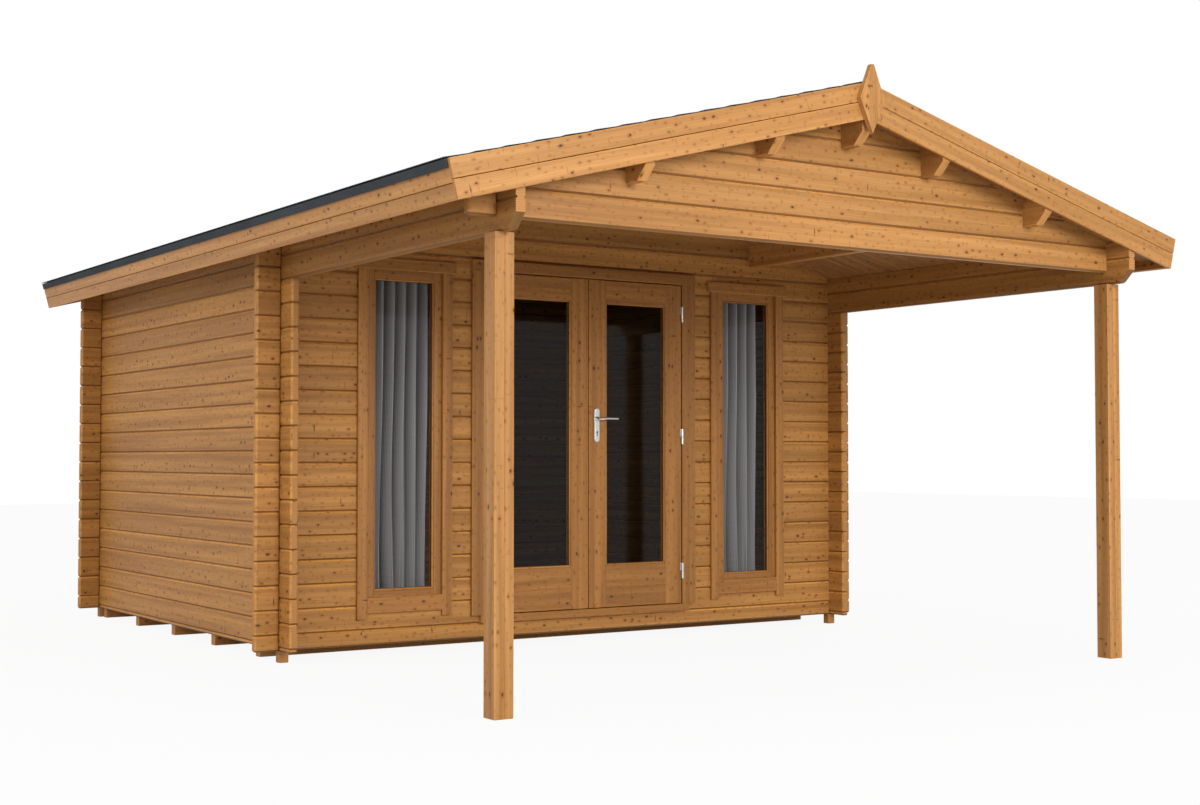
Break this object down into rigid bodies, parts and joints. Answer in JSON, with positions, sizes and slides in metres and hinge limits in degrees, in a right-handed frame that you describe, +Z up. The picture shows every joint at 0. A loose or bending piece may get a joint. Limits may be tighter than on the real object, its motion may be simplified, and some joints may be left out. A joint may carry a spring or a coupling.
{
  "type": "garden shed",
  "caption": "Log-built garden shed with a pitched roof that runs on over an open front porch, glazed doors that swing outward and tall fixed side windows.",
  "frame": {"origin": "on the ground under the middle of the whole shed's box", "axes": "+X along the front to the right as seen from the front, front faces -Y, +Z up"},
  "size_m": [4.3722, 5.672, 2.8418],
  "materials": {
    "log_timber": "stained softwood logs, satin",
    "trim_timber": "stained planed softwood, satin",
    "floor_timber": "planed softwood boards",
    "bearer_timber": "treated rough-sawn softwood",
    "roof_timber": "planed softwood boards",
    "roofing_felt": "mineral-faced bitumen felt",
    "clear_glass": "clear",
    "hardware_steel": "satin",
    "curtain_cloth": "plain woven"
  },
  "bodies": {
    "shed": {"ground_bearers": "bearer_timber", "floor_boards": "floor_timber", "left_wall": "log_timber", "right_wall": "log_timber", "back_wall": "log_timber", "front_wall_left": "log_timber", "front_wall_right": "log_timber", "front_wall_sill": "log_timber", "front_gable": "log_timber", "log_ends": "log_timber", "left_wall_plate": "log_timber", "right_wall_plate": "log_timber", "porch_gable": "log_timber", "left_post": "trim_timber", "right_post": "trim_timber", "ridge_purlin": "trim_timber", "left_purlins": "trim_timber", "right_purlins": "trim_timber", "left_roof_boards": "roof_timber", "right_roof_boards": "roof_timber", "left_roof_covering": "roofing_felt", "right_roof_covering": "roofing_felt", "ridge_capping": "roofing_felt", "front_bargeboards": "trim_timber", "back_bargeboards": "trim_timber", "eaves_fascia": "trim_timber", "front_finial": "trim_timber", "door_frame": "trim_timber", "door_casing": "trim_timber", "frame_hinges": "hardware_steel", "window_sashes": "trim_timber", "window_panes": "clear_glass", "window_casings": "trim_timber", "left_curtain": "curtain_cloth", "right_curtain": "curtain_cloth", "curtain_rails": "hardware_steel"},
    "left_door": {"left_door_leaf": "trim_timber", "left_door_glass": "clear_glass", "left_door_hinges": "hardware_steel"},
    "right_door": {"right_door_leaf": "trim_timber", "right_door_glass": "clear_glass", "right_door_hinges": "hardware_steel", "lock_plates": "hardware_steel"},
    "lever": {"door_levers": "hardware_steel"}
  },
  "joints": [
    {"name": "left_door_hinge", "type": "hinge", "parent": "shed", "child": "left_door", "pos_m": [-0.6575, -0.477, 1.1], "axis": [0, 0, -1], "range_deg": [0, 105]},
    {"name": "right_door_hinge", "type": "hinge", "parent": "shed", "child": "right_door", "pos_m": [0.6575, -0.477, 1.1], "axis": [0, 0, 1], "range_deg": [0, 105]},
    {"name": "lever_turn", "type": "hinge", "parent": "right_door", "child": "lever", "pos_m": [0.0525, -0.477, 1.265], "axis": [0, 1, 0], "range_deg": [0, 40], "stiffness_Nm_per_rad": 1.2, "springref_deg": -28.65}
  ]
}
